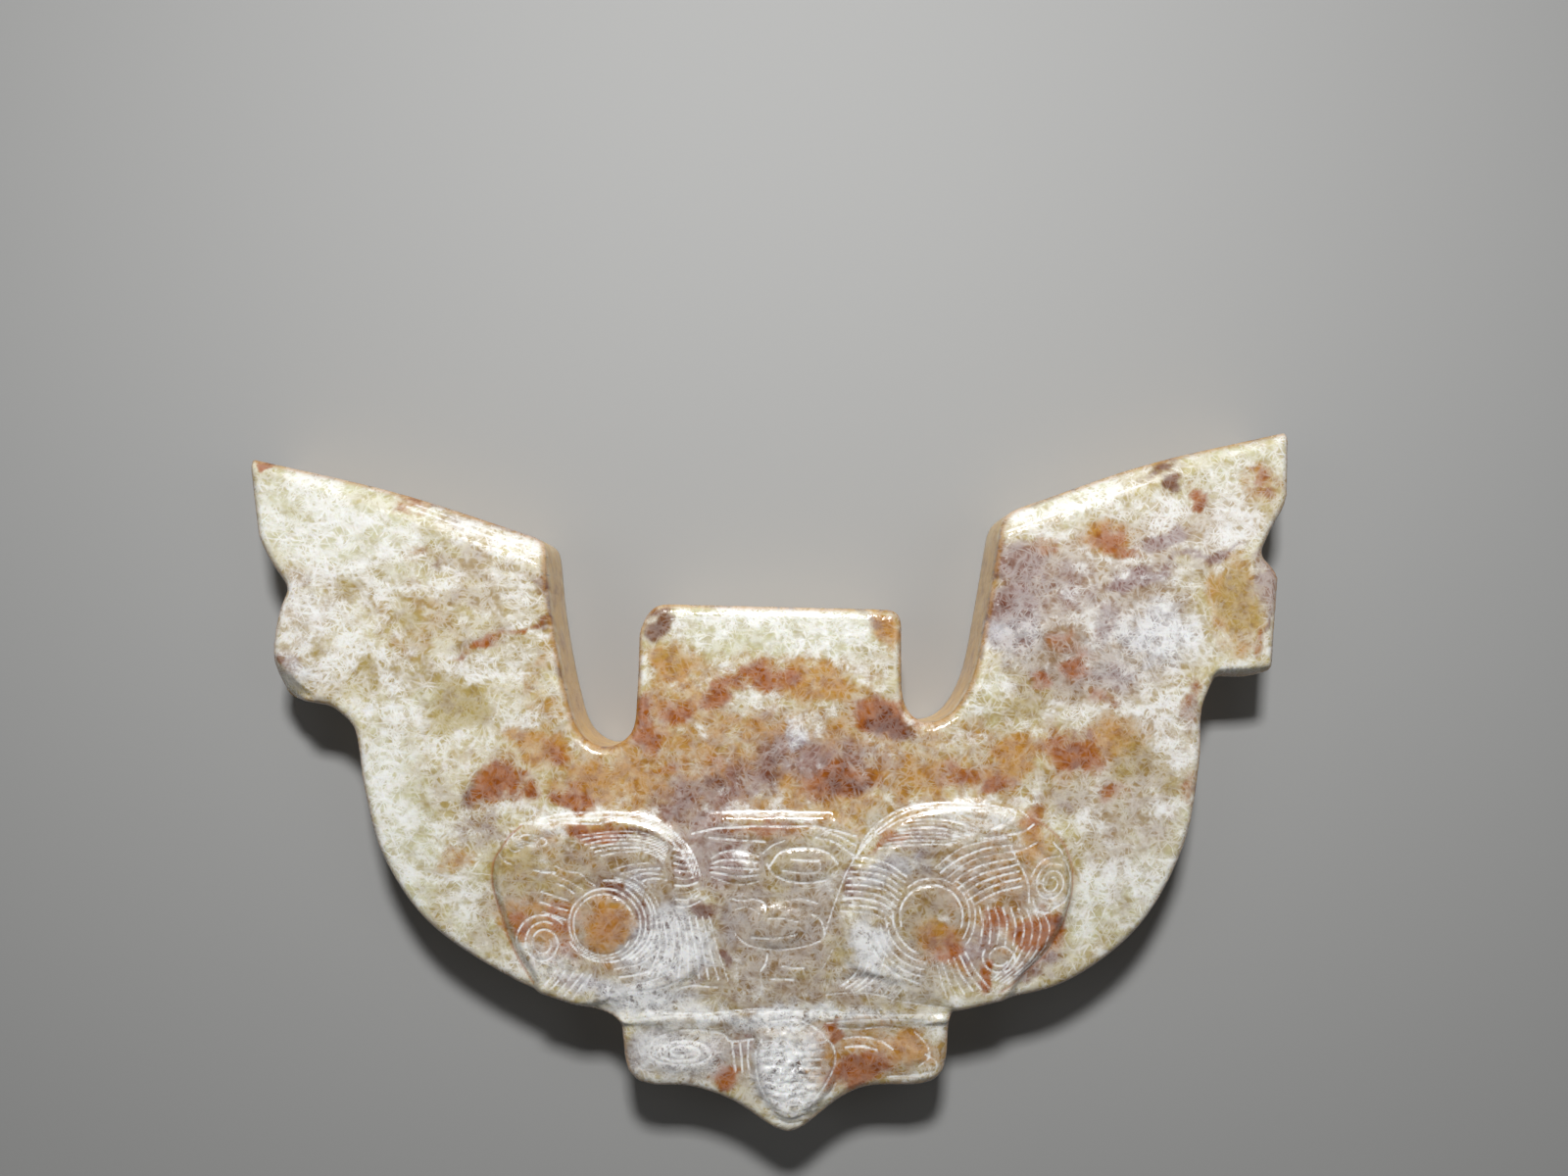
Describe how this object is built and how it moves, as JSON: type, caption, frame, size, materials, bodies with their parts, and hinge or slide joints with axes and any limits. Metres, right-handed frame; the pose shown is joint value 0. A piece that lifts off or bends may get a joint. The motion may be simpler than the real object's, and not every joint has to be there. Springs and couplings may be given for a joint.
{
  "type": "three-pronged jade ornament",
  "caption": "Flat carved jade ornament with two wing-like side prongs, a short square middle prong and a low relief animal mask above a small beak.",
  "frame": {"origin": "middle of the ornament's back, on the surface it lies on", "axes": "+X to the right across the wings, +Y up the prongs, +Z out of the carved front"},
  "size_m": [0.0602, 0.0405, 0.0065],
  "materials": {
    "jade": "polished, mottled honey, russet and grey-white"
  },
  "bodies": {
    "root": {"jade_ornament": "jade"}
  },
  "joints": []
}
